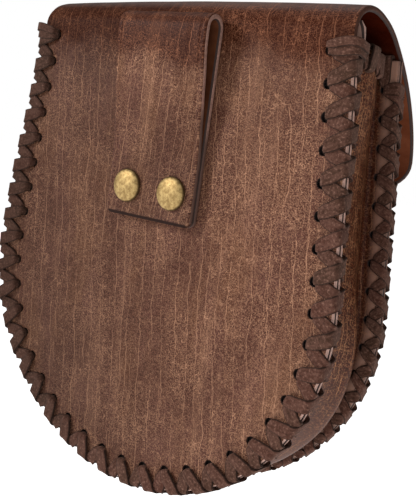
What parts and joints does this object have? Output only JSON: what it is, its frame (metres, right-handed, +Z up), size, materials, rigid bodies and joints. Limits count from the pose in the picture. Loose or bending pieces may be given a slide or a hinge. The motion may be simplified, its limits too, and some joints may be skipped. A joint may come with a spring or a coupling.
{
  "type": "belt pouch",
  "caption": "Leather belt pouch with a rolled-over flap, laced seams, a gusset and a riveted belt loop.",
  "frame": {"origin": "middle of the belt loop's inner top, where a belt's upper edge bears", "axes": "+Z up as worn, +Y out of the back panel towards the belt and the wearer, +X along the belt"},
  "size_m": [0.1808, 0.1012, 0.219],
  "materials": {
    "panel_leather": "crackled brown leather, half matt",
    "gusset_leather": "dark red-brown leather, half matt",
    "lace": "matt suede lace",
    "antique_brass": "mottled antique brass"
  },
  "bodies": {
    "root": {"back_panel": "panel_leather", "front_panel": "panel_leather", "gusset": "gusset_leather", "belt_loop": "panel_leather", "cap_rivet_left": "antique_brass", "cap_rivet_right": "antique_brass", "back_lacing": "lace", "front_lacing": "lace", "left_top_lacing": "lace", "right_top_lacing": "lace"}
  },
  "joints": []
}
